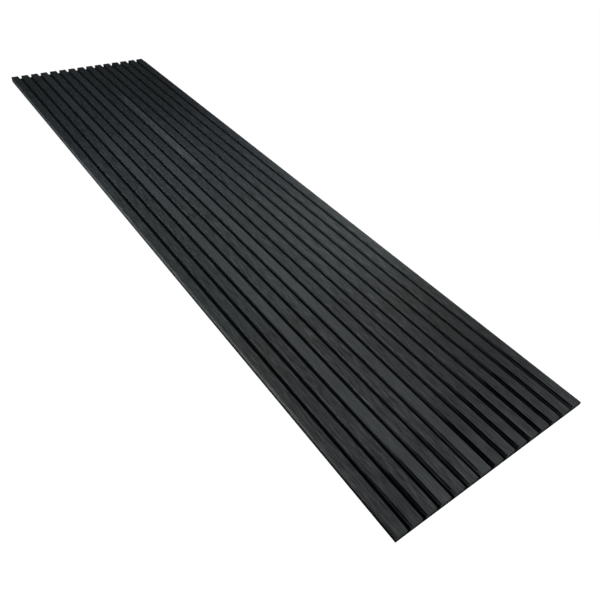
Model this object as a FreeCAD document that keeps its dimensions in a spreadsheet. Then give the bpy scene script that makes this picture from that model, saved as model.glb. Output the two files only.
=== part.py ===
import FreeCAD, Part
import os
import re
from enum import IntEnum

import Sketcher
from FreeCAD import Vector

# Acoustic slat wall panel, in millimetres, lying on its felt back with its slats up.
# X runs across the slats, Y along them and Z away from the wall.
# The origin is the middle of the felt's back.

# Driving sizes: alias, value, what it sets
DRIVING_SIZES = (
    ("panel_length", 2400, "length of the felt and the slats"),
    ("slat_count", 15, "number of slats side by side"),
    ("slat_width", 27, "width of one slat"),
    ("slat_gap", 13, "felt left open beside each slat"),
    ("slat_thickness", 11, "height of a slat above the felt"),
    ("slat_arris", 0.8, "radius of the eased long edges of a slat's face"),
    ("felt_thickness", 9, "thickness of the felt backing"),
    ("staple_rows", 5, "number of staples along each slat"),
    ("staple_end_margin", 100, "from the end of the panel to its nearest staple"),
    ("staple_crown", 12.8, "width of a staple over its legs"),
    ("staple_bite", 5.4, "length of leg inside the slat"),
    ("staple_sink", 0.4, "depth of the crown below the back of the felt"),
    ("wire_width", 0.95, "staple wire, measured along the slat"),
    ("wire_thickness", 0.65, "staple wire, measured across the slat"),
    ("wire_point", 0.28, "bevel on each side of a leg's point"),
    ("wire_clearance", 0.05, "play round the wire in the felt and the slat"),
    ("point_clearance", 0.3, "room beyond a leg's point in the slat"),
)

# Sizes that follow from the driving ones: alias, formula, what it sets
DERIVED_SIZES = (
    ("slat_pitch", "slat_width + slat_gap", "from one slat to the next"),
    ("slat_span", "(slat_count - 1) * slat_pitch", "from the first slat to the last"),
    ("panel_width", "slat_count * slat_pitch", "width of the felt, with the last slat's gap"),
    ("first_slat_x", "(slat_width - panel_width) / 2", "middle of the first slat, flush with the felt"),
    ("row_span", "panel_length - 2 * staple_end_margin", "from the first row of staples to the last"),
    ("first_row_y", "-row_span / 2", "first row of staples"),
    ("staple_leg", "felt_thickness + staple_bite - staple_sink", "length of a leg, with the crown"),
    ("leg_x", "(staple_crown - wire_thickness) / 2", "from the middle of a staple to a leg"),
    ("crown_recess", "staple_sink + wire_thickness", "depth of the recess for a crown"),
    ("recess_length", "staple_crown + 2 * wire_clearance", "length of the recess for a crown"),
    ("slot_length", "wire_width + 2 * wire_clearance", "slot for the wire, along the slat"),
    ("slot_width", "wire_thickness + 2 * wire_clearance", "slot for a leg, across the slat"),
    ("slot_depth", "staple_bite + point_clearance", "depth of a leg's slot in the slat"),
)

SHEET = "Sizes"
FELT_LABEL = "felt_backing"
SLAT_LABEL = "slat"
STAPLES_LABEL = "staples"

SAME_PLACE = 1e-6


class Point(IntEnum):
    """How a sketch constraint names a point of a line."""

    START = 1
    END = 2


class Axis(IntEnum):
    """How a sketch constraint names the sketch's own axes, which start at its origin."""

    ACROSS = -1
    UP = -2


def make_sheet(doc):
    """Fill the spreadsheet, with one aliased row for each size."""
    sheet = doc.addObject("Spreadsheet::Sheet", SHEET)
    rows = [(alias, str(value), note) for alias, value, note in DRIVING_SIZES]
    rows += [(alias, f"={formula}", note) for alias, formula, note in DERIVED_SIZES]
    for number, (alias, content, note) in enumerate(rows, start=1):
        sheet.set(f"A{number}", note)
        sheet.set(f"B{number}", content)
        sheet.setAlias(f"B{number}", alias)
    doc.recompute()
    return sheet


def in_sheet(formula):
    """Write a formula of aliases as an expression that reads them from the sheet."""
    return re.sub(r"[a-z]\w*", lambda word: f"{SHEET}.{word.group()}", formula)


def bind(item, formulas, prefix=""):
    """Bind properties of an object to formulas of aliases."""
    for name, formula in formulas.items():
        item.setExpression(prefix + name, in_sheet(formula))


def new_body(doc, label):
    """Start the body of one sub-part."""
    body = doc.addObject("PartDesign::Body", label)
    body.Label = label
    return body


def origin_item(body, role):
    """Find a plane or an axis of the body's own origin."""
    return next(item for item in body.Origin.OriginFeatures if item.Role == role)


def new_sketch(body, name, plane):
    """Start a sketch on one of the body's own origin planes."""
    sketch = body.newObject("Sketcher::SketchObject", f"{body.Name}_{name}")
    sketch.AttachmentSupport = [(origin_item(body, plane), "")]
    sketch.MapMode = "FlatFace"
    return sketch


def add_outline(sketch, name, points):
    """Draw a closed outline of straight lines through points whose x and y are formulas."""
    places = [[float(sketch.evalExpression(in_sheet(formula))) for formula in point] for point in points]
    corners = [Vector(x, y, 0) for x, y in places]
    first = sketch.GeometryCount
    sides = list(range(first, first + len(corners)))
    for start, end in zip(corners, corners[1:] + corners[:1]):
        sketch.addGeometry(Part.LineSegment(start, end))
    for side, next_side in zip(sides, sides[1:] + sides[:1]):
        sketch.addConstraint(Sketcher.Constraint("Coincident", side, Point.END, next_side, Point.START))
    for side, point, place in zip(sides, points, places):
        for direction, formula, value in zip("XY", point, place):
            origin_to_point = (Axis.ACROSS, Point.START, side, Point.START)
            constraint = Sketcher.Constraint(f"Distance{direction}", *origin_to_point, value)
            label = f"{name}_{direction}{side}"
            sketch.renameConstraint(sketch.addConstraint(constraint), label)
            bind(sketch, {label: formula}, prefix="Constraints.")


def add_rectangle(sketch, name, middle, bottom, width, height):
    """Draw a rectangle whose middle line, bottom, width and height are formulas."""
    left, right = f"{middle} - {width} / 2", f"{middle} + {width} / 2"
    top = f"{bottom} + {height}"
    add_outline(sketch, name, [(left, bottom), (right, bottom), (right, top), (left, top)])


def add_leg_slots(sketch):
    """Draw the pair of slots that a staple's legs go through."""
    for name, middle in (("left_leg", "-leg_x"), ("right_leg", "leg_x")):
        add_rectangle(sketch, name, middle, "-slot_length / 2", "slot_width", "slot_length")


def add_pad(body, name, sketch, length, side_type="One side"):
    """Pad a sketch by a formula."""
    feature = body.newObject("PartDesign::Pad", f"{body.Name}_{name}")
    feature.Profile = sketch
    feature.SideType = side_type
    bind(feature, {"Length": length})
    return feature


def add_pocket(body, name, sketch, depth):
    """Cut a sketch on the underside upwards into the body by a formula."""
    feature = body.newObject("PartDesign::Pocket", f"{body.Name}_{name}")
    feature.Profile = sketch
    feature.Reversed = True
    bind(feature, {"Length": depth})
    return feature


def edges_along_y(shape, height):
    """Name the edges that run along Y at one height."""
    names = []
    for number, edge in enumerate(shape.Edges, start=1):
        start, end = edge.firstVertex().Point, edge.lastVertex().Point
        level = max(abs(start.z - height), abs(end.z - height)) < SAME_PLACE
        along_y = abs(start.x - end.x) < SAME_PLACE
        if level and along_y:
            names.append(f"Edge{number}")
    return names


def repeat_by_row(body, features):
    """Repeat features once for each row of staples."""
    pattern = body.newObject("PartDesign::LinearPattern", f"{body.Name}_rows")
    pattern.Originals = features
    pattern.Direction = (origin_item(body, "Y_Axis"), [""])
    bind(pattern, {"Length": "row_span", "Occurrences": "staple_rows"})
    body.Tip = pattern
    return pattern


def repeat_by_slat(body, pattern):
    """Repeat a pattern of rows once for each slat too."""
    pattern.Direction2 = (origin_item(body, "X_Axis"), [""])
    bind(pattern, {"Length2": "slat_span", "Occurrences2": "slat_count"})


def make_felt_backing(doc):
    """One felt board, recessed for each staple's crown and slotted for its legs."""
    body = new_body(doc, FELT_LABEL)
    board = new_sketch(body, "board_outline", "XY_Plane")
    add_rectangle(board, "board", "0", "-panel_length / 2", "panel_width", "panel_length")
    add_pad(body, "board", board, "felt_thickness")

    crown = new_sketch(body, "crown_outline", "XY_Plane")
    add_rectangle(crown, "crown", "0", "-slot_length / 2", "recess_length", "slot_length")
    legs = new_sketch(body, "leg_outline", "XY_Plane")
    add_leg_slots(legs)
    for sketch in (crown, legs):
        bind(sketch, {"x": "first_slat_x", "y": "first_row_y"}, prefix="AttachmentOffset.Base.")
    recess = add_pocket(body, "crown_recess", crown, "crown_recess")
    slots = add_pocket(body, "leg_slots", legs, "felt_thickness")
    repeat_by_slat(body, repeat_by_row(body, [recess, slots]))
    return body


def make_slat(doc, number, thickness):
    """One slat with eased face edges and a blind slot for each staple leg."""
    body = new_body(doc, f"{SLAT_LABEL}_{number:02d}")
    section = new_sketch(body, "section", "XZ_Plane")
    add_rectangle(section, "section", "0", "0", "slat_width", "slat_thickness")
    length = add_pad(body, "length", section, "panel_length", side_type="Symmetric")
    doc.recompute()
    arris = body.newObject("PartDesign::Fillet", f"{body.Name}_arris")
    arris.Base = (length, edges_along_y(length.Shape, thickness))
    bind(arris, {"Radius": "slat_arris"})

    legs = new_sketch(body, "leg_outline", "XY_Plane")
    add_leg_slots(legs)
    bind(legs, {"y": "first_row_y"}, prefix="AttachmentOffset.Base.")
    repeat_by_row(body, [add_pocket(body, "leg_slots", legs, "slot_depth")])
    seat = {"x": f"first_slat_x + {number - 1} * slat_pitch", "z": "felt_thickness"}
    bind(body, seat, prefix="Placement.Base.")
    return body


def make_staples(doc):
    """Wire staples, each driven through the back of the felt into a slat."""
    body = new_body(doc, STAPLES_LABEL)
    section = new_sketch(body, "section", "XZ_Plane")
    outside, inside = "staple_crown / 2", "staple_crown / 2 - wire_thickness"
    shoulder = "staple_leg - wire_point"
    right_half = [
        (outside, "0"),
        (outside, shoulder),
        (f"{outside} - wire_point", "staple_leg"),
        (f"{inside} + wire_point", "staple_leg"),
        (inside, shoulder),
        (inside, "wire_thickness"),
    ]
    left_half = [(f"-({x})", z) for x, z in reversed(right_half)]
    add_outline(section, "wire", right_half + left_half)
    wire = add_pad(body, "wire", section, "wire_width", side_type="Symmetric")
    repeat_by_slat(body, repeat_by_row(body, [wire]))
    first_staple = {"x": "first_slat_x", "y": "first_row_y", "z": "staple_sink"}
    bind(body, first_staple, prefix="Placement.Base.")
    return body


def check_document(doc, solid_counts):
    """Stop if an object failed, or if a sub-part isn't the solids that it should be."""
    for item in doc.Objects:
        if {"Invalid", "Error"} & set(item.State):
            raise RuntimeError(f"{item.Name} failed: {item.State}")
    for body, count in solid_counts:
        shape = body.Shape
        if shape.isNull() or not shape.isValid():
            raise RuntimeError(f"{body.Label} has no valid shape")
        if len(shape.Solids) != count:
            raise RuntimeError(f"{body.Label} has {len(shape.Solids)} solids, not {count}")


def main():
    """Build the document, check it and write each sub-part to its own file."""
    os.makedirs("parts", exist_ok=True)
    doc = FreeCAD.newDocument("slat_wall_panel")
    sheet = make_sheet(doc)
    slat_count, staple_rows = int(sheet.slat_count), int(sheet.staple_rows)

    felt = make_felt_backing(doc)
    slats = [make_slat(doc, number, sheet.slat_thickness) for number in range(1, slat_count + 1)]
    staples = make_staples(doc)
    doc.recompute()

    solid_counts = [(body, 1) for body in (felt, *slats)]
    solid_counts.append((staples, slat_count * staple_rows))
    check_document(doc, solid_counts)
    for body, count in solid_counts:
        body.Shape.exportStep(f"parts/{body.Label}.step")
        print(f"{body.Label}: {count} solid(s), {body.Shape.Volume:.0f} mm3")


main()
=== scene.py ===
"""Looks of the acoustic slat wall panel: black grained slats, pressed felt and wire staples, in metres."""
import logging
import math
from dataclasses import dataclass, field
from enum import Enum
from functools import reduce
from typing import ClassVar

import bpy
from mathutils import Matrix, Vector


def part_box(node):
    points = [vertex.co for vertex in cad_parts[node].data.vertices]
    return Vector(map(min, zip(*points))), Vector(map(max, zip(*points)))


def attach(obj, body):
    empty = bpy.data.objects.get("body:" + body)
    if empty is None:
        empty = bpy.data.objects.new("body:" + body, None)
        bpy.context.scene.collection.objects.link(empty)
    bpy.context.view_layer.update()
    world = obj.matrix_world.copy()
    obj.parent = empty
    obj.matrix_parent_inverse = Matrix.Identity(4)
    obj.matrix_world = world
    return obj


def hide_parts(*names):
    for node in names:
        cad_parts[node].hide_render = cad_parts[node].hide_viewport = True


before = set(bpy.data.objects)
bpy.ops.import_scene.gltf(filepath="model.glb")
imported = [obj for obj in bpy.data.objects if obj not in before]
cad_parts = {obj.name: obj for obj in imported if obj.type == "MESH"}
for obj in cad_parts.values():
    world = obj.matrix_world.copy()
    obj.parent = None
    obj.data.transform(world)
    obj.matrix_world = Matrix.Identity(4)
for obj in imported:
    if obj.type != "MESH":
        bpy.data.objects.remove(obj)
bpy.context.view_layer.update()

MM = 0.001
WHITE = (1, 1, 1, 1)
# The range that most values of a noise texture lie in
USUAL_NOISE = (0.3, 0.7)
# Turns a shape that runs along Z so that it runs along the panel
LAID_DOWN = (math.pi / 2, 0, 0)

Colour = tuple[float, float, float]
Point = tuple[float, float, float]
Range = tuple[float, float]
Socket = bpy.types.NodeSocket

log = logging.getLogger("slat_wall_panel")


class Ray(Enum):
    """Kinds of ray that see the white background, by their Light Path output."""

    CAMERA = "Is Camera Ray"
    GLOSSY = "Is Glossy Ray"
    TRANSMISSION = "Is Transmission Ray"


class NodeBench:
    """Lays out the nodes of one tree and joins them."""

    def __init__(self, tree: bpy.types.NodeTree) -> None:
        """Take the empty tree that gets the nodes."""
        self.tree = tree

    def add(self, kind: str, inputs: dict | None = None, **settings: object) -> bpy.types.Node:
        """Add one node.

        Args:
            kind: Blender's name of the node type.
            inputs: a value or an output socket for each named or numbered input.
            settings: properties of the node itself.

        Returns:
            The new node.
        """
        node = self.tree.nodes.new(kind)
        for name, value in settings.items():
            setattr(node, name, value)
        for key, value in (inputs or {}).items():
            if isinstance(value, Socket):
                self.tree.links.new(value, node.inputs[key])
            else:
                node.inputs[key].default_value = value
        return node

    def math(self, operation: str, *values: object, clamp: bool = False) -> Socket:
        """Add a Math node for numbers or sockets, with its result kept from 0 to 1 if wanted."""
        node = self.add("ShaderNodeMath", dict(enumerate(values)), operation=operation, use_clamp=clamp)
        return node.outputs[0]

    def product(self, *shares: object) -> Socket:
        """Multiply numbers or sockets with each other, from left to right."""
        return reduce(lambda total, share: self.math("MULTIPLY", total, share), shares)

    def ramp(self, value: Socket, low: float, high: float, to_low: float = 0.0, to_high: float = 1.0,
             smooth: bool = False) -> Socket:
        """Map a range of a value to another range.

        Args:
            value: the socket that is read.
            low: the value that becomes to_low.
            high: the value that becomes to_high.
            to_low: result at low and beyond.
            to_high: result at high and beyond.
            smooth: whether the change is eased at its ends.

        Returns:
            The result's socket.
        """
        kind = "SMOOTHSTEP" if smooth else "LINEAR"
        inputs = {0: value, 1: low, 2: high, 3: to_low, 4: to_high}
        return self.add("ShaderNodeMapRange", inputs, interpolation_type=kind).outputs[0]

    def partly(self, share: Socket, tone: object) -> Socket:
        """Give a tone to the places where a share is 1, and leave those where it is 0 as they are."""
        return self.ramp(share, 0, 1, 1, tone)

    def noise(self, vector: Socket, scale: float, detail: float, roughness: float,
              distortion: float) -> Socket:
        """Add a noise texture.

        Args:
            vector: the coordinates' socket.
            scale: pattern repeats for each unit of the coordinates.
            detail: number of finer layers.
            roughness: share of the finer layers.
            distortion: how far the pattern is bent.

        Returns:
            The socket of its value, about 0.5 on average.
        """
        inputs = {"Vector": vector, "Scale": scale, "Detail": detail, "Roughness": roughness,
                  "Distortion": distortion}
        return self.add("ShaderNodeTexNoise", inputs).outputs[0]

    def attribute(self, name: str) -> Socket:
        """Read a number that is stored on the mesh."""
        return self.add("ShaderNodeAttribute", attribute_name=name).outputs["Fac"]

    def place(self) -> Socket:
        """Read the Object coordinates."""
        return self.add("ShaderNodeTexCoord").outputs["Object"]

    def stretched(self, vector: Socket, scale: Point) -> Socket:
        """Scale coordinates by their axes."""
        return self.add("ShaderNodeMapping", {"Vector": vector, "Scale": scale}).outputs[0]

    def vector(self, **axes: object) -> Socket:
        """Join numbers or sockets, named X, Y and Z, to a vector."""
        return self.add("ShaderNodeCombineXYZ", axes).outputs[0]

    def axis(self, vector: Socket, name: str) -> Socket:
        """Take one axis of a vector."""
        return self.add("ShaderNodeSeparateXYZ", {0: vector}).outputs[name]

    def scaled(self, colour: object, share: Socket) -> Socket:
        """Multiply a colour by a share."""
        inputs = {0: colour, "Scale": share}
        return self.add("ShaderNodeVectorMath", inputs, operation="SCALE").outputs[0]

    def bump(self, height: Socket, strength: float, distance: float) -> Socket:
        """Tilt a surface by a pattern of heights."""
        inputs = {"Strength": strength, "Distance": distance, "Height": height}
        return self.add("ShaderNodeBump", inputs).outputs[0]

    def surface(self, looks: dict[str, object]) -> None:
        """End a material's tree with a Principled shader that has the given inputs."""
        shader = self.add("ShaderNodeBsdfPrincipled", looks)
        self.add("ShaderNodeOutputMaterial", {"Surface": shader.outputs[0]})


def new_material(name: str) -> tuple[bpy.types.Material, NodeBench]:
    """Start a node material.

    Args:
        name: the material's name.

    Returns:
        The material and the bench of its empty tree.
    """
    material = bpy.data.materials.new(name)
    material.use_nodes = True
    material.node_tree.nodes.clear()
    return material, NodeBench(material.node_tree)


@dataclass(frozen=True)
class Layout:
    """Places of the panel's pieces, read from the frame."""

    slat_count: int
    length: float
    first_low: Vector
    first_high: Vector
    last_low: Vector
    felt_low: Vector
    felt_high: Vector

    @classmethod
    def read(cls) -> "Layout":
        """Measure the felt and the first and last slat.

        Returns:
            The layout.
        """
        count = sum(name.startswith("slat_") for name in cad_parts)
        first_low, first_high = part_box("slat_01")
        last_low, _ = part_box(f"slat_{count:02d}")
        felt_low, felt_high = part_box("felt_backing")
        return cls(count, first_high.y - first_low.y, first_low, first_high, last_low, felt_low, felt_high)

    @property
    def pitch(self) -> float:
        """Distance from one slat to the next."""
        return (self.last_low.x - self.first_low.x) / (self.slat_count - 1)

    @property
    def slat_width(self) -> float:
        """Width of one slat."""
        return self.first_high.x - self.first_low.x

    @property
    def slat_thickness(self) -> float:
        """Height of a slat above the felt."""
        return self.first_high.z - self.first_low.z

    def slat_middle(self, number: int) -> float:
        """Middle of one slat across the panel, counted from 1."""
        return self.first_low.x + self.slat_width / 2 + (number - 1) * self.pitch

    def from_near(self, bench: NodeBench, place: Socket) -> Socket:
        """Measure how far a point lies from the end next to the camera."""
        return bench.math("SUBTRACT", bench.axis(place, "Y"), self.first_low.y)


@dataclass(frozen=True)
class SlatPlace:
    """Sockets that say where a point lies on its slat."""

    NUMBER_SLACK: ClassVar[float] = 0.5
    SIDE_SLACK: ClassVar[float] = 0.2 * MM

    number: Socket
    inward: Socket
    on_left: Socket
    down: Socket
    from_near: Socket
    from_far: Socket

    @classmethod
    def read(cls, bench: NodeBench, layout: Layout) -> "SlatPlace":
        """Work the sockets out from Object coordinates and the slat's number.

        Args:
            bench: the material's bench.
            layout: places of the panel's pieces.

        Returns:
            The slat's number, metres inward from its nearer side, whether the point is on its left side, and
            metres below its face and from its two ends.
        """
        place = bench.place()
        across = bench.math("SUBTRACT", bench.axis(place, "X"), layout.slat_middle(1))
        turns = bench.math("DIVIDE", across, layout.pitch)
        aside = bench.product(bench.math("SUBTRACT", turns, bench.math("ROUND", turns)), layout.pitch)
        from_near = layout.from_near(bench, place)
        half = layout.slat_width / 2
        return cls(number=bench.attribute("slat_number"),
                   inward=bench.math("SUBTRACT", half, bench.math("ABSOLUTE", aside)),
                   on_left=bench.math("LESS_THAN", aside, cls.SIDE_SLACK - half),
                   down=bench.math("SUBTRACT", layout.first_high.z, bench.axis(place, "Z")),
                   from_near=from_near,
                   from_far=bench.math("SUBTRACT", layout.length, from_near))

    def is_slat(self, bench: NodeBench, number: int) -> Socket:
        """Find whether the point is on one slat."""
        return bench.math("COMPARE", self.number, float(number), self.NUMBER_SLACK)


@dataclass(frozen=True)
class GrainLayer:
    """One scale of the oak print: its repeats for each metre, and how much it changes the tone."""

    across: float
    along: float
    share: float
    detail: float = 2.0
    roughness: float = 0.55
    distortion: float = 0.3

    def draw(self, bench: NodeBench, place: Socket) -> Socket:
        """Draw the pattern, about 0.5 on average, in coordinates that have the slat along Y."""
        stretched = bench.stretched(place, (self.across, self.along, self.across))
        return bench.noise(stretched, 1.0, self.detail, self.roughness, self.distortion)

    def tone(self, bench: NodeBench, pattern: Socket) -> Socket:
        """Turn the pattern into a share of the colour's tone."""
        return bench.ramp(pattern, *USUAL_NOISE, 1 - self.share, 1 + self.share)


@dataclass(frozen=True)
class Fleck:
    """An even pattern: its repeats for each unit, its make, its tones and the values that they belong to."""

    scale: float
    detail: float
    roughness: float
    distortion: float
    tones: Range
    values: Range = USUAL_NOISE

    def draw(self, bench: NodeBench, place: Socket) -> Socket:
        """Draw the pattern, about 0.5 on average."""
        return bench.noise(place, self.scale, self.detail, self.roughness, self.distortion)

    def tone(self, bench: NodeBench, pattern: Socket) -> Socket:
        """Turn the pattern into a share of the colour's tone."""
        return bench.ramp(pattern, *self.values, *self.tones)


@dataclass(frozen=True)
class ToneLine:
    """A tone that changes along the panel: points of millimetres from the near end and tone."""

    points: tuple[tuple[float, float], ...]

    def tone(self, bench: NodeBench, from_near: Socket) -> Socket:
        """Join the points with straight ramps.

        Args:
            bench: the material's bench.
            from_near: the socket of the metres from the near end.

        Returns:
            The tone's socket.
        """
        _, first = self.points[0]
        steps = zip(self.points, self.points[1:])
        return bench.product(first, *(bench.ramp(from_near, start * MM, end * MM, 1.0, after / before)
                                      for (start, before), (end, after) in steps))


@dataclass(frozen=True)
class BlackOakFoil:
    """Matte black foil with the print and pores of oak, wrapped round each slat. Its tones are shares of 1."""

    layout: Layout
    colour: Colour = (0.0435, 0.0435, 0.0435)
    red_tones: ToneLine = ToneLine(((500, 0.92), (1000, 0.865)))
    blue_tones: ToneLine = ToneLine(((0, 1.045), (500, 1.0), (1600, 1.09)))
    outer_tint: Colour = (1.04, 1.0, 0.93)
    specular: float = 0.01
    roughness: Range = (0.90, 0.78)
    relief: Range = (0.25, 0.15 * MM)
    print_shift: float = 3.71
    bands: GrainLayer = GrainLayer(150, 1.6, 0.10, distortion=0.6)
    streaks: GrainLayer = GrainLayer(400, 18, 0.40)
    fibres: GrainLayer = GrainLayer(800, 32, 0.42)
    pores: GrainLayer = GrainLayer(1500, 38, 0.28, detail=1.0, distortion=0.0)
    pore_values: Range = (0.60, 0.72)
    pore_depth: float = 0.5
    arris_reach: Range = (0.27 * MM, 0.9 * MM)
    arris_tone: float = 0.7
    # painted light and shade: the slats' faces are lighter or darker along the panel, where the lamps light them
    # more or less
    face_light_tones: ToneLine = ToneLine(((0, 1.19), (120, 1.0), (350, 0.86), (650, 1.12), (900, 0.98),
                                     (1500, 0.98), (1900, 1.05)))
    side_reach: Range = (0.1 * MM, 0.4 * MM)
    face_only: Range = (1.11, 1.27)
    # painted light and shade on the outer left side along the panel, lightest right at the near end
    outer_side_light_tones: ToneLine = ToneLine(((0, 1.6), (70, 0.93), (140, 0.92), (350, 1.2), (1500, 1.04),
                                      (1800, 1.15)))
    # painted shade at the top of each inner side and painted light at its foot, stronger on the left slats between
    # about 110 and 520 mm from the near end
    wall_top_shade: float = 0.76
    wall_foot_light: float = 2.1
    wall_foot_light_tones: ToneLine = ToneLine(((110, 2.1), (145, 4.6), (300, 3.8), (520, 2.1)))
    wall_foot_light_slats: Range = (6, 10)
    # the foil is darker within a few millimetres of the far end
    far_rim_reach: Range = (3 * MM, 6 * MM)
    far_rim_tone: float = 0.4
    # painted light and shade on the slats' left sides next to the near end, each slat lighter or darker where the
    # lamps reach it more or less, with a painted shade line under the arris
    shading_from_slat: int = 2
    near_shading_reach: Range = (80 * MM, 165 * MM)
    near_shading_fade: float = 40 * MM
    shade_line_start: Range = (12 * MM, 15 * MM)
    shade_line_top: Range = (0.6 * MM, 1.0 * MM)
    shade_line_foot: Range = (4.2 * MM, 4.6 * MM)
    shade_line_tone: float = 0.07
    # one slat's face is paler along part of its length
    pale_slat: int = 9
    pale_rise: Range = (1320 * MM, 1469.4 * MM)
    pale_fall: Range = (1950.8 * MM, 2150 * MM)
    pale_depth: float = 0.3 * MM
    pale_tone: float = 1.76

    def make(self) -> bpy.types.Material:
        """Build the material.

        Returns:
            The material of the slats' faces and sides.
        """
        material, bench = new_material("black_oak_foil")
        spot = SlatPlace.read(bench, self.layout)
        shift = bench.vector(Y=bench.product(spot.number, self.print_shift), Z=spot.number)
        inputs = {0: bench.place(), 1: shift}
        own = bench.add("ShaderNodeVectorMath", inputs, operation="ADD").outputs[0]

        streaks = self.streaks.draw(bench, own)
        pores = bench.ramp(self.pores.draw(bench, own), *self.pore_values, smooth=True)
        grain = bench.product(self.streaks.tone(bench, streaks),
                              *(layer.tone(bench, layer.draw(bench, own)) for layer in (self.bands, self.fibres)),
                              bench.partly(pores, 1 - self.pores.share))
        figured = bench.math("MULTIPLY_ADD", bench.math("SUBTRACT", grain, 1.0), bench.attribute("slat_figure"), 1.0)
        light = bench.product(figured, self._arris(bench, spot), self._tone_and_painted_light(bench, spot),
                              self._far_rim(bench, spot), self._near_end_light_and_shade(bench, spot), self._pale_stretch(bench, spot))
        heights = bench.math("SUBTRACT", streaks, bench.product(pores, self.pore_depth))
        bench.surface({"Base Color": bench.scaled(self._dye(bench, spot), light),
                       "Specular IOR Level": self.specular,
                       "Roughness": bench.ramp(streaks, *USUAL_NOISE, *self.roughness),
                       "Normal": bench.bump(heights, *self.relief)})
        return material

    def _dye(self, bench: NodeBench, spot: SlatPlace) -> Socket:
        """Let the hue drift from a neutral to a cooler black along the panel, warmer on its outer left side.

        Args:
            bench: the material's bench.
            spot: where a point lies on its slat.

        Returns:
            The colour's socket.
        """
        red, green, blue = self.colour
        drift = bench.vector(X=bench.product(self.red_tones.tone(bench, spot.from_near), red), Y=green,
                             Z=bench.product(self.blue_tones.tone(bench, spot.from_near), blue))
        outer = bench.product(spot.on_left, spot.is_slat(bench, 1))
        tint = bench.vector(**{axis: bench.partly(outer, share) for axis, share in zip("XYZ", self.outer_tint)})
        return bench.add("ShaderNodeVectorMath", {0: drift, 1: tint}, operation="MULTIPLY").outputs[0]

    def _arris(self, bench: NodeBench, spot: SlatPlace) -> Socket:
        """Darken the foil where it folds over a slat's two long edges."""
        away = bench.math("MAXIMUM", spot.inward, spot.down)
        return bench.ramp(away, *self.arris_reach, self.arris_tone, 1.0, smooth=True)

    def _tone_and_painted_light(self, bench: NodeBench, spot: SlatPlace) -> Socket:
        """Give each slat its own tone, with painted light and shade along it that differ between its face and sides.

        The palest slats are only paler on their faces. The inner sides get painted shade at the top and painted
        light at the foot, and the outer left side its own painted light and shade.

        Args:
            bench: the material's bench.
            spot: where a point lies on its slat.

        Returns:
            The socket of the share of the tone.
        """
        # painted light at the foot of the inner sides and painted shade at their top
        foot_light = bench.ramp(spot.number, *self.wall_foot_light_slats, self.wall_foot_light_tones.tone(bench, spot.from_near),
                          self.wall_foot_light)
        inner = bench.ramp(spot.down, 0, self.layout.slat_thickness, self.wall_top_shade, foot_light)
        # painted light and shade on the outer left side
        outer = self.outer_side_light_tones.tone(bench, spot.from_near)
        own = bench.attribute("slat_tone")
        side = bench.product(bench.ramp(spot.is_slat(bench, 1), 0, 1, inner, outer),
                             bench.ramp(own, *self.face_only, own, 1.0))
        # the face's tone carries painted light and shade along the panel
        face = bench.product(self.face_light_tones.tone(bench, spot.from_near), own)
        return bench.ramp(spot.inward, *self.side_reach, side, face)

    def _far_rim(self, bench: NodeBench, spot: SlatPlace) -> Socket:
        """Darken the foil within a few millimetres of the far end."""
        return bench.ramp(spot.from_far, *self.far_rim_reach, self.far_rim_tone, 1.0, smooth=True)

    def _near_end_light_and_shade(self, bench: NodeBench, spot: SlatPlace) -> Socket:
        """Paint light and shade onto each slat's left side next to the near end: a tone for each slat, and a dark
        painted shade line under its arris.

        Args:
            bench: the material's bench.
            spot: where a point lies on its slat.

        Returns:
            The socket of the share of the tone.
        """
        reach = bench.ramp(spot.number, self.shading_from_slat, self.layout.slat_count, *self.near_shading_reach)
        beyond = bench.math("SUBTRACT", spot.from_near, reach)
        near = bench.ramp(beyond, 0, self.near_shading_fade, 1, 0, smooth=True)
        inner = bench.math("GREATER_THAN", spot.number, self.shading_from_slat - spot.NUMBER_SLACK)
        share = bench.product(near, spot.on_left, inner)
        # painted shade line under the arris of each left side
        shade_line = bench.product(share, bench.ramp(spot.down, *self.shade_line_top, smooth=True),
                             bench.ramp(spot.down, *self.shade_line_foot, 1, 0, smooth=True),
                             bench.ramp(spot.from_near, *self.shade_line_start, smooth=True))
        return bench.product(bench.partly(share, bench.attribute("slat_lip")),
                             bench.partly(shade_line, self.shade_line_tone))

    def _pale_stretch(self, bench: NodeBench, spot: SlatPlace) -> Socket:
        """Lighten one slat's face along part of its length.

        Args:
            bench: the material's bench.
            spot: where a point lies on its slat.

        Returns:
            The socket of the share of the tone.
        """
        rise = bench.ramp(spot.from_near, *self.pale_rise, smooth=True)
        fall = bench.ramp(spot.from_near, *self.pale_fall, 1, 0, smooth=True)
        on_face = bench.math("LESS_THAN", spot.down, self.pale_depth)
        share = bench.product(rise, fall, spot.is_slat(bench, self.pale_slat), on_face)
        return bench.partly(share, self.pale_tone)


@dataclass(frozen=True)
class FibreboardCore:
    """Black-dyed wood fibre board, seen where a slat is cut across."""

    colour: Colour = (0.034, 0.0355, 0.037)
    specular: float = 0.05
    roughness: float = 0.92
    relief: Range = (0.5, 0.1 * MM)
    fibres: Fleck = Fleck(1800, 3.0, 0.7, 0.0, (0.7, 1.35))
    layers: Fleck = Fleck(1.0, 2.0, 0.5, 0.0, (0.9, 1.1))
    layer_repeats: Point = (120, 120, 900)

    def make(self) -> bpy.types.Material:
        """Build the material.

        Returns:
            The material of the slats' sawn ends.
        """
        material, bench = new_material("dyed_fibreboard")
        place = bench.place()
        fibres = self.fibres.draw(bench, place)
        layers = self.layers.draw(bench, bench.stretched(place, self.layer_repeats))
        light = bench.product(self.fibres.tone(bench, fibres), self.layers.tone(bench, layers))
        bench.surface({"Base Color": bench.scaled(self.colour, light), "Specular IOR Level": self.specular,
                       "Roughness": self.roughness, "Normal": bench.bump(fibres, *self.relief)})
        return material


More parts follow.
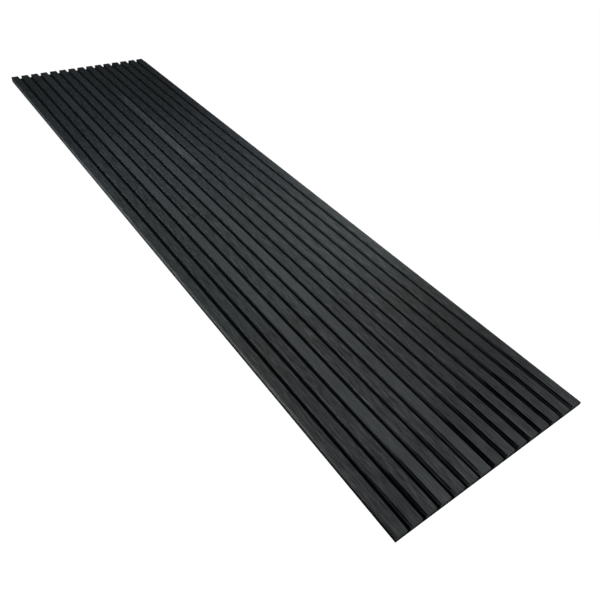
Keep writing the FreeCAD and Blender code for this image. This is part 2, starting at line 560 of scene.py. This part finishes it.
@dataclass(frozen=True)
class PressedFelt:
    """Needled black polyester felt, with paler single fibres, and painted light that makes it paler away from the
    near end and darker next to it.
    """

    layout: Layout
    colour: Colour = (0.0062, 0.0082, 0.0088)
    specular: float = 0.0
    roughness: float = 0.98
    sheen: float = 0.01
    sheen_roughness: float = 0.6
    relief: Range = (0.8, 0.4 * MM)
    clumps: Fleck = Fleck(160, 3.0, 0.6, 0.4, (0.75, 1.3))
    fibres: Fleck = Fleck(1400, 4.0, 0.75, 1.2, (0.7, 1.9), values=(0.35, 0.75))
    # painted light and shade: the felt is darker next to the near end and paler further along, where more light
    # falls into the gaps
    gap_light_tones: ToneLine = ToneLine(((0, 0.40), (300, 0.8), (1000, 2.5), (2400, 4.5)))

    def make(self) -> bpy.types.Material:
        """Build the material.

        Returns:
            The material of the felt board.
        """
        material, bench = new_material("pressed_felt")
        place = bench.place()
        clumps, fibres = self.clumps.draw(bench, place), self.fibres.draw(bench, place)
        # the felt's tone carries painted light along the panel
        light = bench.product(self.clumps.tone(bench, clumps), self.fibres.tone(bench, fibres),
                              self.gap_light_tones.tone(bench, self.layout.from_near(bench, place)))
        heights = bench.math("ADD", fibres, clumps)
        bench.surface({"Base Color": bench.scaled(self.colour, light), "Specular IOR Level": self.specular,
                       "Roughness": self.roughness, "Sheen Weight": self.sheen,
                       "Sheen Roughness": self.sheen_roughness, "Normal": bench.bump(heights, *self.relief)})
        return material


@dataclass(frozen=True)
class GalvanisedWire:
    """Bright galvanised staple wire, drawn and slightly scratched."""

    colour: Colour = (0.62, 0.62, 0.60)
    roughness: Range = (0.28, 0.48)
    scratches: Fleck = Fleck(1.0, 2.0, 0.5, 0.0, (0.85, 1.08))
    scratch_repeats: Point = (300, 4000, 300)

    def make(self) -> bpy.types.Material:
        """Build the material.

        Returns:
            The material of the staples.
        """
        material, bench = new_material("galvanised_wire")
        drawn = self.scratches.draw(bench, bench.stretched(bench.place(), self.scratch_repeats))
        bench.surface({"Base Color": bench.scaled(self.colour, self.scratches.tone(bench, drawn)),
                       "Metallic": 1.0, "Roughness": bench.ramp(drawn, *USUAL_NOISE, *self.roughness)})
        return material


class ShapeTree:
    """A Geometry Nodes tree with named inputs, which ends in Realize Instances and Set Material."""

    def __init__(self, name: str, inputs: dict[str, str]) -> None:
        """Start the tree.

        Args:
            name: the tree's name.
            inputs: socket type for each named input.
        """
        self.tree = bpy.data.node_groups.new(name, "GeometryNodeTree")
        self.bench = NodeBench(self.tree)
        self.sockets = {}
        geometry = {"Geometry": "NodeSocketGeometry", **inputs}
        for label, kind in geometry.items():
            self.sockets[label] = self.tree.interface.new_socket(label, in_out="INPUT", socket_type=kind)
        self.tree.interface.new_socket("Geometry", in_out="OUTPUT", socket_type="NodeSocketGeometry")
        self.inputs = self.bench.add("NodeGroupInput").outputs

    def finish(self, shape: Socket, material: Socket) -> Socket:
        """Realize the instances and give all faces the material that a socket holds."""
        real = self.bench.add("GeometryNodeRealizeInstances", {0: shape}).outputs[0]
        return self.bench.add("GeometryNodeSetMaterial", {"Geometry": real, "Material": material}).outputs[0]

    def output(self, shape: Socket) -> None:
        """Send the finished shape out of the tree."""
        self.bench.add("NodeGroupOutput", {0: shape})

    def apply(self, name: str, base: bpy.types.ID, values: dict[str, object]) -> bpy.types.Object:
        """Run the tree once and keep its result as a plain mesh at the origin.

        Args:
            name: the new piece's name.
            base: mesh or curve data that the tree starts from.
            values: a value for each named input.

        Returns:
            The finished piece.
        """
        source = bpy.data.objects.new(f"{name}_source", base)
        bpy.context.scene.collection.objects.link(source)
        modifier = source.modifiers.new("shape", "NODES")
        modifier.node_group = self.tree
        for label, value in values.items():
            modifier[self.sockets[label].identifier] = value
        graph = bpy.context.evaluated_depsgraph_get()
        mesh = bpy.data.meshes.new_from_object(source.evaluated_get(graph), depsgraph=graph)
        source.modifiers.remove(modifier)
        bpy.data.objects.remove(source)
        mesh.name = name
        piece = bpy.data.objects.new(name, mesh)
        bpy.context.scene.collection.objects.link(piece)
        return piece


def draw_line(name: str, points: list[Point], closed: bool) -> bpy.types.Curve:
    """Draw straight lines from point to point.

    Args:
        name: the curve's name.
        points: the points in order.
        closed: whether the last point is joined to the first.

    Returns:
        The curve.
    """
    curve = bpy.data.curves.new(name, "CURVE")
    curve.dimensions = "3D"
    spline = curve.splines.new("POLY")
    spline.points.add(len(points) - 1)
    for point, place in zip(spline.points, points):
        point.co = (*place, 1)
    spline.use_cyclic_u = closed
    return curve


def eased_section(bench: NodeBench, sides: tuple[Socket, Socket], radius: Socket, steps: object) -> Socket:
    """Draw a rectangle with rounded corners in the XY plane.

    Args:
        bench: the tree's bench.
        sides: its width and its height.
        radius: radius of each corner.
        steps: points of each corner.

    Returns:
        The socket of the closed curve.
    """
    width, height = sides
    inputs = {"Width": width, "Height": height}
    sharp = bench.add("GeometryNodeCurvePrimitiveQuadrilateral", inputs, mode="RECTANGLE").outputs[0]
    inputs = {"Curve": sharp, "Radius": radius, "Count": steps}
    return bench.add("GeometryNodeFilletCurve", inputs, mode="POLY").outputs[0]


def run_along(bench: NodeBench, section: Socket, length: Socket) -> Socket:
    """Run a closed section along Z by a length, half of it each way, and close its ends.

    Args:
        bench: the tree's bench.
        section: the section's curve, in the XY plane.
        length: the length.

    Returns:
        The socket of the closed shape.
    """
    half = bench.product(length, 0.5)
    inputs = {"Start": bench.vector(Z=bench.product(half, -1.0)), "End": bench.vector(Z=half)}
    run = bench.add("GeometryNodeCurvePrimitiveLine", inputs).outputs[0]
    inputs = {"Curve": run, "Profile Curve": section, "Fill Caps": True}
    return bench.add("GeometryNodeCurveToMesh", inputs).outputs[0]


def lay_and_cut(bench: NodeBench, strip: Socket, seat: Socket, cutter: Socket) -> Socket:
    """Lay a strip along the panel and cut the shape of an object out of it.

    Args:
        bench: the tree's bench.
        strip: the strip, along Z.
        seat: where its middle goes.
        cutter: the cutting object.

    Returns:
        The socket of the cut strip, with flat faces.
    """
    inputs = {"Geometry": strip, "Translation": seat, "Rotation": LAID_DOWN}
    laid = bench.add("GeometryNodeTransform", inputs).outputs[0]
    room = bench.add("GeometryNodeObjectInfo", {"Object": cutter}).outputs["Geometry"]
    inputs = {"Mesh 1": laid, "Mesh 2": room}
    cut = bench.add("GeometryNodeMeshBoolean", inputs, operation="DIFFERENCE", solver="EXACT").outputs[0]
    return bench.add("GeometryNodeSetShadeSmooth", {"Geometry": cut, "Shade Smooth": False}).outputs[0]


@dataclass(frozen=True)
class StapleGrid:
    """Places and wire of the staples: a pair of legs in each slat, row after row."""

    SOCKETS: ClassVar[dict[str, str]] = {
        "First X": "NodeSocketFloat", "First Y": "NodeSocketFloat", "Slat Pitch": "NodeSocketFloat",
        "Row Pitch": "NodeSocketFloat", "Slats": "NodeSocketInt", "Rows": "NodeSocketInt",
    }

    layout: Layout
    rows: int = 5
    end_margin: float = 100 * MM
    wire_width: float = 0.95 * MM
    wire_thickness: float = 0.65 * MM

    @property
    def leg_x(self) -> float:
        """Distance from the middle of a staple to the middle of a leg."""
        low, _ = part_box("staples")
        return self.layout.slat_middle(1) - low.x - self.wire_thickness / 2

    def values(self, first_slat: int, slats: int) -> dict[str, object]:
        """Give a tree the places of some slats' staples.

        Args:
            first_slat: number of the leftmost of the slats, counted from 1.
            slats: how many slats.

        Returns:
            A value for each of the grid's inputs.
        """
        span = self.layout.length - 2 * self.end_margin
        return {"First X": self.layout.slat_middle(first_slat), "First Y": -span / 2,
                "Slat Pitch": self.layout.pitch, "Row Pitch": span / (self.rows - 1), "Slats": slats,
                "Rows": self.rows}

    @staticmethod
    def repeat(bench: NodeBench, given: object, shape: Socket) -> Socket:
        """Repeat a shape once for each slat and once for each row.

        Args:
            bench: the tree's bench.
            given: the tree's inputs, the grid's among them.
            shape: what is repeated.

        Returns:
            The socket of all the instances.
        """
        start = bench.vector(X=given["First X"], Y=given["First Y"])
        lines = ({"Count": given["Slats"], "Start Location": start, "Offset": bench.vector(X=given["Slat Pitch"])},
                 {"Count": given["Rows"], "Offset": bench.vector(Y=given["Row Pitch"])})
        for line in lines:
            points = bench.add("GeometryNodeMeshLine", line).outputs[0]
            shape = bench.add("GeometryNodeInstanceOnPoints", {"Points": points, "Instance": shape}).outputs[0]
        return shape


@dataclass(frozen=True)
class StapleRoom:
    """The room that staples take: a recess in the felt's back and two slots up into the slat."""

    grid: StapleGrid
    play: float = 0.05 * MM
    point_room: float = 0.3 * MM
    below: float = 1.0 * MM

    def outline(self) -> bpy.types.Curve:
        """Draw one staple's room as a closed outline, seen along the slat.

        Returns:
            The outline, with the felt's back at height 0.
        """
        low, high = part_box("staples")
        half_wire = self.grid.wire_thickness / 2 + self.play
        outer, inner = self.grid.leg_x + half_wire, self.grid.leg_x - half_wire
        crown, tip = low.z + self.grid.wire_thickness, high.z + self.point_room
        corners = ((-outer, -self.below), (outer, -self.below), (outer, tip), (inner, tip),
                   (inner, crown), (-inner, crown), (-inner, tip), (-outer, tip))
        return draw_line("staple_room", [(x, z, 0) for x, z in corners], closed=True)

    def make_tree(self) -> ShapeTree:
        """Write the tree that gives the outline its length along the slat and repeats it.

        Returns:
            The tree.
        """
        kinds = {"Slot Length": "NodeSocketFloat", "Stand-in": "NodeSocketMaterial", **StapleGrid.SOCKETS}
        tree = ShapeTree("staple_room", kinds)
        bench, given = tree.bench, tree.inputs
        room = run_along(bench, given["Geometry"], given["Slot Length"])
        laid = bench.add("GeometryNodeTransform", {"Geometry": room, "Rotation": LAID_DOWN}).outputs[0]
        tree.output(tree.finish(StapleGrid.repeat(bench, given, laid), given["Stand-in"]))
        return tree

    def build(self, first_slat: int, slats: int) -> bpy.types.Object:
        """Make the room of so many slats' staples, as an object that only cuts others."""
        values = {"Slot Length": self.grid.wire_width + 2 * self.play, **self.grid.values(first_slat, slats)}
        return self.make_tree().apply("staple_room", self.outline(), values)


@dataclass
class SlatRow:
    """The fifteen slats: one wrapped and sawn strip for each slat of the frame."""

    SAWN: ClassVar[float] = 0.5

    layout: Layout
    room: StapleRoom
    foil: bpy.types.Material
    core: bpy.types.Material
    arris: float = 0.8 * MM
    foot_arris: float = 0.15 * MM
    arc_steps: int = 6
    plain: float = 1.0
    tones: dict[int, float] = field(default_factory=lambda: {
        1: 1.01, 2: 0.96, 3: 0.98, 4: 1.30, 5: 1.03, 6: 1.06, 7: 1.27, 8: 0.97, 9: 1.02, 11: 1.05, 13: 0.98,
        14: 1.03, 15: 1.11})
    figures: dict[int, float] = field(default_factory=lambda: {3: 1.2, 4: 0.45, 5: 1.2, 6: 1.2, 7: 0.45})
    # painted light and shade of each slat's left side next to the near end: above 1 lighter, below 1 darker
    near_end_shading: dict[int, float] = field(default_factory=lambda: {
        2: 1.8, 3: 0.75, 4: 1.3, 5: 2.1, 6: 1.35, 7: 2.9, 8: 0.3, 9: 0.6, 10: 0.55, 11: 0.4, 12: 0.3, 13: 0.5,
        14: 0.8, 15: 1.15})

    def make_tree(self) -> ShapeTree:
        """Write the tree that draws one slat's section, runs it along the slat and marks its sawn ends.

        Returns:
            The tree.
        """
        sizes = ("Width", "Thickness", "Length", "Arris", "Foot Arris", "Middle X", "Foot Z", "Tone", "Figure",
                 "Lip")
        kinds = {label: "NodeSocketFloat" for label in sizes}
        kinds |= {"Number": "NodeSocketInt", "Arc Steps": "NodeSocketInt", "Staple Room": "NodeSocketObject"}
        kinds |= {"Foil": "NodeSocketMaterial", "Core": "NodeSocketMaterial"}
        tree = ShapeTree("slat", kinds)
        bench, given = tree.bench, tree.inputs

        height = bench.axis(bench.add("GeometryNodeInputPosition").outputs[0], "Y")
        is_top = bench.add("FunctionNodeCompare", {0: height, 1: 0.0}, operation="GREATER_THAN").outputs[0]
        inputs = {0: is_top, 1: given["Foot Arris"], 2: given["Arris"]}
        radius = bench.add("GeometryNodeSwitch", inputs, input_type="FLOAT").outputs[0]
        section = eased_section(bench, (given["Width"], given["Thickness"]), radius, given["Arc Steps"])
        strip = run_along(bench, section, given["Length"])
        lift = bench.math("ADD", given["Foot Z"], bench.product(given["Thickness"], 0.5))
        seat = bench.vector(X=given["Middle X"], Z=lift)
        shape = lay_and_cut(bench, strip, seat, given["Staple Room"])
        for label in ("Number", "Tone", "Figure", "Lip"):
            inputs = {"Geometry": shape, "Name": f"slat_{label.lower()}", "Value": given[label]}
            shape = bench.add("GeometryNodeStoreNamedAttribute", inputs, data_type="FLOAT",
                              domain="POINT").outputs[0]

        wrapped = tree.finish(shape, given["Foil"])
        facing = bench.math("ABSOLUTE", bench.axis(bench.add("GeometryNodeInputNormal").outputs[0], "Y"))
        sawn = bench.add("FunctionNodeCompare", {0: facing, 1: self.SAWN}, operation="GREATER_THAN").outputs[0]
        inputs = {"Geometry": wrapped, "Selection": sawn, "Material": given["Core"]}
        tree.output(bench.add("GeometryNodeSetMaterial", inputs).outputs[0])
        return tree

    def build(self) -> list[bpy.types.Object]:
        """Make every slat, hang it on the root and hide its node of the frame.

        Returns:
            The slats, from left to right.
        """
        tree, layout, slats = self.make_tree(), self.layout, []
        empty = bpy.data.meshes.new("slat_start")
        for number in range(1, layout.slat_count + 1):
            room = self.room.build(number, slats=1)
            values = {
                "Width": layout.slat_width, "Thickness": layout.slat_thickness, "Length": layout.length,
                "Arris": self.arris, "Foot Arris": self.foot_arris, "Arc Steps": self.arc_steps,
                "Middle X": layout.slat_middle(number), "Foot Z": layout.first_low.z, "Staple Room": room,
                "Number": number, "Tone": self.tones.get(number, self.plain),
                "Figure": self.figures.get(number, self.plain), "Lip": self.near_end_shading.get(number, self.plain),
                "Foil": self.foil, "Core": self.core,
            }
            slat = tree.apply(f"black_slat_{number:02d}", empty, values)
            bpy.data.objects.remove(room)
            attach(slat, "root")
            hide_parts(f"slat_{number:02d}")
            slats.append(slat)
            log.info("%s: %d faces", slat.name, len(slat.data.polygons))
        return slats


@dataclass
class FeltBoard:
    """The pressed felt board under the slats, with soft cut edges and room for the staples."""

    layout: Layout
    room: StapleRoom
    felt: bpy.types.Material
    edge: float = 0.6 * MM
    arc_steps: int = 3

    def make_tree(self) -> ShapeTree:
        """Write the tree that draws the board's section, runs it along the panel and cuts it for the staples.

        Returns:
            The tree.
        """
        kinds = {label: "NodeSocketFloat" for label in ("Width", "Thickness", "Length", "Edge", "Middle Z")}
        kinds |= {"Arc Steps": "NodeSocketInt", "Staple Room": "NodeSocketObject", "Felt": "NodeSocketMaterial"}
        tree = ShapeTree("felt_board", kinds)
        bench, given = tree.bench, tree.inputs
        section = eased_section(bench, (given["Width"], given["Thickness"]), given["Edge"], given["Arc Steps"])
        board = run_along(bench, section, given["Length"])
        slotted = lay_and_cut(bench, board, bench.vector(Z=given["Middle Z"]), given["Staple Room"])
        tree.output(tree.finish(slotted, given["Felt"]))
        return tree

    def build(self) -> bpy.types.Object:
        """Make the board, hang it on the root and hide its node of the frame.

        Returns:
            The board.
        """
        size = self.layout.felt_high - self.layout.felt_low
        room = self.room.build(1, self.layout.slat_count)
        values = {
            "Width": size.x, "Thickness": size.z, "Length": size.y, "Edge": self.edge,
            "Middle Z": self.layout.felt_low.z + size.z / 2, "Arc Steps": self.arc_steps,
            "Staple Room": room, "Felt": self.felt,
        }
        board = self.make_tree().apply("pressed_felt_board", bpy.data.meshes.new("felt_start"), values)
        bpy.data.objects.remove(room)
        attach(board, "root")
        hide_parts("felt_backing")
        log.info("%s: %d faces", board.name, len(board.data.polygons))
        return board


@dataclass
class StapleRows:
    """Wire staples shot through the back of the felt into each slat."""

    grid: StapleGrid
    wire: bpy.types.Material
    bend: float = 0.75 * MM
    bend_steps: int = 4
    wire_corner: float = 0.12 * MM
    corner_steps: int = 2
    cuts: int = 3
    tip_length: float = 0.9 * MM
    tip_scale: float = 0.35

    def make_tree(self) -> ShapeTree:
        """Write the tree that bends one wire, gives it its section and repeats it by row and by slat.

        Returns:
            The tree.
        """
        sizes = ("Wire Width", "Wire Thickness", "Wire Corner", "Bend", "Tip Length", "Tip Scale")
        kinds = {label: "NodeSocketFloat" for label in sizes}
        kinds |= {"Wire": "NodeSocketMaterial", **StapleGrid.SOCKETS}
        tree = ShapeTree("staple_rows", kinds)
        bench, given = tree.bench, tree.inputs

        inputs = {"Curve": given["Geometry"], "Radius": given["Bend"], "Count": self.bend_steps}
        bent = bench.add("GeometryNodeFilletCurve", inputs, mode="POLY").outputs[0]
        fine = bench.add("GeometryNodeSubdivideCurve", {"Curve": bent, "Cuts": self.cuts}).outputs[0]
        along = bench.add("GeometryNodeSplineParameter").outputs["Length"]
        total = bench.add("GeometryNodeSplineLength").outputs["Length"]
        from_end = bench.math("MINIMUM", along, bench.math("SUBTRACT", total, along))
        reach = bench.math("DIVIDE", from_end, given["Tip Length"], clamp=True)
        size = bench.ramp(reach, 0, 1, given["Tip Scale"], 1)
        tapered = bench.add("GeometryNodeSetCurveRadius", {"Curve": fine, "Radius": size}).outputs[0]
        section = eased_section(bench, (given["Wire Width"], given["Wire Thickness"]), given["Wire Corner"],
                                self.corner_steps)
        inputs = {"Curve": tapered, "Profile Curve": section, "Scale": size, "Fill Caps": True}
        staple = bench.add("GeometryNodeCurveToMesh", inputs).outputs[0]
        tree.output(tree.finish(StapleGrid.repeat(bench, given, staple), given["Wire"]))
        return tree

    def wire_path(self) -> bpy.types.Curve:
        """Draw one staple's middle line as four points, from leg tip to leg tip.

        Returns:
            The open line.
        """
        low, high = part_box("staples")
        leg_x, crown_z = self.grid.leg_x, low.z + self.grid.wire_thickness / 2
        corners = ((-leg_x, high.z), (-leg_x, crown_z), (leg_x, crown_z), (leg_x, high.z))
        return draw_line("staple_line", [(x, 0, z) for x, z in corners], closed=False)

    def build(self) -> bpy.types.Object:
        """Make all the staples as one piece, hang it on the root and hide the frame's staples.

        Returns:
            The staples.
        """
        grid = self.grid
        values = {
            "Wire Width": grid.wire_width, "Wire Thickness": grid.wire_thickness, "Wire Corner": self.wire_corner,
            "Bend": self.bend, "Tip Length": self.tip_length, "Tip Scale": self.tip_scale, "Wire": self.wire,
            **grid.values(1, grid.layout.slat_count),
        }
        staples = self.make_tree().apply("wire_staples", self.wire_path(), values)
        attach(staples, "root")
        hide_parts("staples")
        log.info("%s: %d faces", staples.name, len(staples.data.polygons))
        return staples


@dataclass(frozen=True)
class Softbox:
    """One soft studio lamp."""

    name: str
    place: Point
    target: Point
    width: float
    height: float
    power: float
    spread: float = 180.0

    def build(self) -> bpy.types.Object:
        """Hang the lamp.

        Returns:
            The lamp.
        """
        data = bpy.data.lights.new(self.name, "AREA")
        data.shape = "RECTANGLE"
        data.size, data.size_y = self.width, self.height
        data.energy = self.power
        data.spread = math.radians(self.spread)
        lamp = bpy.data.objects.new(self.name, data)
        lamp.location = self.place
        toward = Vector(self.target) - Vector(self.place)
        lamp.rotation_euler = toward.to_track_quat("-Z", "Y").to_euler()
        bpy.context.scene.collection.objects.link(lamp)
        return lamp


@dataclass
class Studio:
    """White floor, white surroundings and soft lamps round the panel."""

    floor_size: float = 40.0
    floor_drop: float = 0.3 * MM
    floor_bounce: Colour = (0.6, 0.6, 0.6)
    floor_shade: Colour = (0.065, 0.065, 0.065)
    floor_glow: float = 0.985
    dome_level: float = 0.284
    softboxes: tuple[Softbox, ...] = (
        Softbox("key_near", (0.6, -1.5, 0.9), (0.05, -1.15, 0.0), 0.5, 0.5, 5.11),
        Softbox("fill_near", (0.1, -1.75, 0.9), (-0.16, -1.17, 0.0), 0.4, 0.4, 0.33, spread=50),
        Softbox("key_right", (0.65, -0.05, 0.8), (0.25, -0.1, 0.0), 0.5, 0.5, 1.047, spread=90),
        Softbox("fill_right", (0.75, -0.3, 0.9), (0.22, -0.35, 0.0), 0.3, 0.3, 0.273, spread=35),
        Softbox("left_long", (-1.148, -0.2523, 0.1102), (0.02, 0.2196, 0.0), 2.3, 0.12, 0.794, spread=10),
        Softbox("left_short", (-0.9795, -0.6095, 0.3712), (0.02, -0.2057, 0.0), 1.4, 0.35, 0.922, spread=20),
        Softbox("left_high", (-1.1471, -0.7866, 0.51), (0.02, 0.1252, 0.0), 1.6, 0.3, 0.541, spread=12),
        Softbox("left_near", (-1.05, -0.75, 0.35), (-0.17, -0.8, 0.01), 0.3, 0.2, 0.112, spread=30),
    )

    @staticmethod
    def _mix_by_ray(bench: NodeBench, lit: Socket, seen: Socket) -> Socket:
        """Choose between two shaders by the kind of ray.

        Args:
            bench: the tree's bench.
            lit: the shader that lights the panel.
            seen: the shader for rays that see the white background.

        Returns:
            The mixed shader's socket.
        """
        path = bench.add("ShaderNodeLightPath").outputs
        white = reduce(lambda share, ray: bench.math("MAXIMUM", share, ray), (path[ray.value] for ray in Ray))
        return bench.add("ShaderNodeMixShader", {0: white, 1: lit, 2: seen}).outputs[0]

    def _make_world(self) -> None:
        """Surround the panel with even light that looks white."""
        world = bpy.data.worlds.new("white_room")
        world.use_nodes = True
        world.node_tree.nodes.clear()
        bench = NodeBench(world.node_tree)
        dome, white = (bench.add("ShaderNodeBackground", {"Color": WHITE, "Strength": strength}).outputs[0]
                       for strength in (self.dome_level, 1.0))
        bench.add("ShaderNodeOutputWorld", {"Surface": self._mix_by_ray(bench, dome, white)})
        bpy.context.scene.world = world

    def _make_floor(self) -> bpy.types.Object:
        """Lay the white floor that still takes the panel's shadow.

        Returns:
            The floor.
        """
        half = self.floor_size / 2
        mesh = bpy.data.meshes.new("studio_floor")
        corners = [(-half, -half), (half, -half), (half, half), (-half, half)]
        mesh.from_pydata([(x, y, -self.floor_drop) for x, y in corners], [], [(0, 1, 2, 3)])
        material, bench = new_material("white_floor")
        bounce, shade = (bench.add("ShaderNodeBsdfDiffuse", {"Color": (*colour, 1)}).outputs[0]
                         for colour in (self.floor_bounce, self.floor_shade))
        glow = bench.add("ShaderNodeEmission", {"Color": WHITE, "Strength": self.floor_glow}).outputs[0]
        seen = bench.add("ShaderNodeAddShader", {0: shade, 1: glow}).outputs[0]
        bench.add("ShaderNodeOutputMaterial", {"Surface": self._mix_by_ray(bench, bounce, seen)})
        mesh.materials.append(material)
        floor = bpy.data.objects.new("studio_floor", mesh)
        bpy.context.scene.collection.objects.link(floor)
        return floor

    def build(self) -> None:
        """Make the surroundings, the floor and the lamps."""
        self._make_world()
        self._make_floor()
        for softbox in self.softboxes:
            softbox.build()
        log.info("studio: %d lamps", len(self.softboxes))


@dataclass(frozen=True)
class PhotoCamera:
    """Camera at the photograph's viewing angle."""

    place: Point = (-0.8012, -1.4425, 1.0193)
    target: Point = (-0.0559, -0.561, 0.0)
    roll: float = 6.486
    lens: float = 34.189
    sensor: float = 36.0
    clip: Range = (0.01, 100.0)

    def build(self) -> bpy.types.Object:
        """Place the camera and make it the scene's own.

        Returns:
            The camera.
        """
        data = bpy.data.cameras.new("photo_camera")
        data.lens, data.sensor_width = self.lens, self.sensor
        data.clip_start, data.clip_end = self.clip
        camera = bpy.data.objects.new("photo_camera", data)
        toward = Vector(self.target) - Vector(self.place)
        level = toward.to_track_quat("-Z", "Y").to_matrix().to_4x4()
        turn = Matrix.Rotation(math.radians(self.roll), 4, "Z")
        camera.matrix_world = Matrix.Translation(self.place) @ level @ turn
        bpy.context.scene.collection.objects.link(camera)
        bpy.context.scene.camera = camera
        return camera


def main() -> None:
    """Build the panel's looks, the studio and the camera."""
    logging.basicConfig(level=logging.INFO, format="%(name)s: %(message)s")
    bpy.context.scene.view_settings.view_transform = "Standard"
    layout = Layout.read()
    grid = StapleGrid(layout)
    room = StapleRoom(grid)
    PhotoCamera().build()
    SlatRow(layout, room, BlackOakFoil(layout).make(), FibreboardCore().make()).build()
    FeltBoard(layout, room, PressedFelt(layout).make()).build()
    StapleRows(grid, GalvanisedWire().make()).build()
    Studio().build()


if __name__ == "__main__":
    main()
